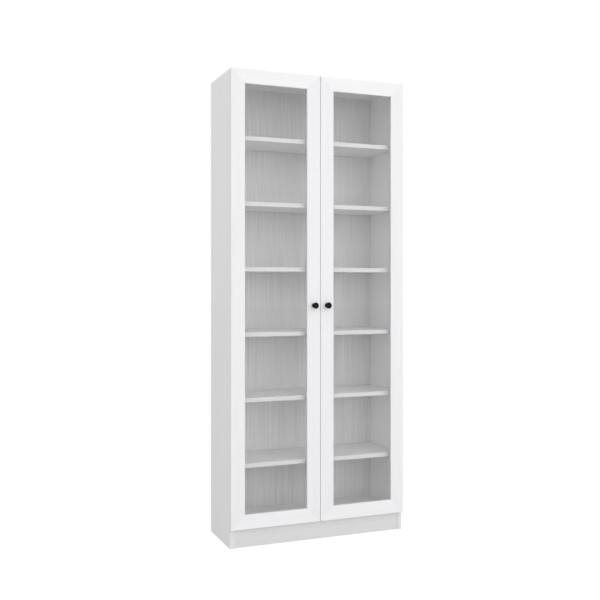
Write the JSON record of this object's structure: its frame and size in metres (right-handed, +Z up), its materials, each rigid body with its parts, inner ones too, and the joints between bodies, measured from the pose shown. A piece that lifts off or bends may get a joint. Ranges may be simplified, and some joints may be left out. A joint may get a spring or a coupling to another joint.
{
  "type": "glazed bookcase",
  "caption": "Tall white bookcase with open shelves behind glazed doors, each hung on concealed hinges and opened by a round black knob.",
  "frame": {"origin": "on the floor, at the middle of the width and of the depth from knob face to back edge", "axes": "+Z up, +X to the viewer's right when facing the doors, +Y from the doors to the back"},
  "size_m": [0.8, 0.324, 1.986],
  "materials": {
    "case_board": "white foil over particle board, faint vertical grain, satin",
    "back_board": "thin white hardboard with fine vertical grain",
    "door_frame": "white foil wrapped frame, embossed grain along each member, satin",
    "pane": "clear float glass, 4 mm",
    "glazing_bead": "white plastic bead",
    "knob_black": "black powder coat, low sheen",
    "hinge_nickel": "nickel-plated pressed steel",
    "zinc": "bright zinc"
  },
  "bodies": {
    "carcass": {"side_panel_left": "case_board", "side_panel_right": "case_board", "top_panel": "case_board", "bottom_panel": "case_board", "plinth_board": "case_board", "shelf_1": "case_board", "shelf_2": "case_board", "shelf_3": "case_board", "shelf_4": "case_board", "shelf_5": "case_board", "shelf_6": "case_board", "back_panel": "back_board", "top_cam_lock_1": "zinc", "top_cam_lock_2": "zinc", "top_cam_lock_3": "zinc", "top_cam_lock_4": "zinc", "bottom_cam_lock_1": "zinc", "bottom_cam_lock_2": "zinc", "bottom_cam_lock_3": "zinc", "bottom_cam_lock_4": "zinc", "hinge_arm_left_1": "hinge_nickel", "hinge_arm_left_2": "hinge_nickel", "hinge_arm_left_3": "hinge_nickel", "hinge_arm_left_4": "hinge_nickel", "hinge_arm_right_1": "hinge_nickel", "hinge_arm_right_2": "hinge_nickel", "hinge_arm_right_3": "hinge_nickel", "hinge_arm_right_4": "hinge_nickel"},
    "left_hinge_links": {"hinge_link_left_1": "hinge_nickel", "hinge_link_left_2": "hinge_nickel", "hinge_link_left_3": "hinge_nickel", "hinge_link_left_4": "hinge_nickel"},
    "left_door": {"door_left_hinge_stile": "door_frame", "door_left_knob_stile": "door_frame", "door_left_top_rail": "door_frame", "door_left_bottom_rail": "door_frame", "glass_left": "pane", "glass_bead_left": "glazing_bead", "knob_left": "knob_black", "knob_screw_left": "zinc", "hinge_cup_left_1": "hinge_nickel", "hinge_cup_left_2": "hinge_nickel", "hinge_cup_left_3": "hinge_nickel", "hinge_cup_left_4": "hinge_nickel"},
    "right_hinge_links": {"hinge_link_right_1": "hinge_nickel", "hinge_link_right_2": "hinge_nickel", "hinge_link_right_3": "hinge_nickel", "hinge_link_right_4": "hinge_nickel"},
    "right_door": {"door_right_hinge_stile": "door_frame", "door_right_knob_stile": "door_frame", "door_right_top_rail": "door_frame", "door_right_bottom_rail": "door_frame", "glass_right": "pane", "glass_bead_right": "glazing_bead", "knob_right": "knob_black", "knob_screw_right": "zinc", "hinge_cup_right_1": "hinge_nickel", "hinge_cup_right_2": "hinge_nickel", "hinge_cup_right_3": "hinge_nickel", "hinge_cup_right_4": "hinge_nickel"}
  },
  "joints": [
    {"name": "left_link_swing", "type": "hinge", "parent": "carcass", "child": "left_hinge_links", "pos_m": [-0.3693, -0.1147, 1.0325], "axis": [0, 0, -1], "range_deg": [-42, 0]},
    {"name": "left_door_swing", "type": "hinge", "parent": "left_hinge_links", "child": "left_door", "pos_m": [-0.3897, -0.1242, 1.0325], "axis": [0, 0, -1], "range_deg": [0, 147]},
    {"name": "right_link_swing", "type": "hinge", "parent": "carcass", "child": "right_hinge_links", "pos_m": [0.3693, -0.1147, 1.0325], "axis": [0, 0, 1], "range_deg": [-42, 0]},
    {"name": "right_door_swing", "type": "hinge", "parent": "right_hinge_links", "child": "right_door", "pos_m": [0.3897, -0.1242, 1.0325], "axis": [0, 0, 1], "range_deg": [0, 147]}
  ],
  "couplings": [
    {"joint": "left_link_swing", "follows": "left_door_swing", "ratio": -0.28571},
    {"joint": "right_link_swing", "follows": "right_door_swing", "ratio": -0.28571}
  ]
}
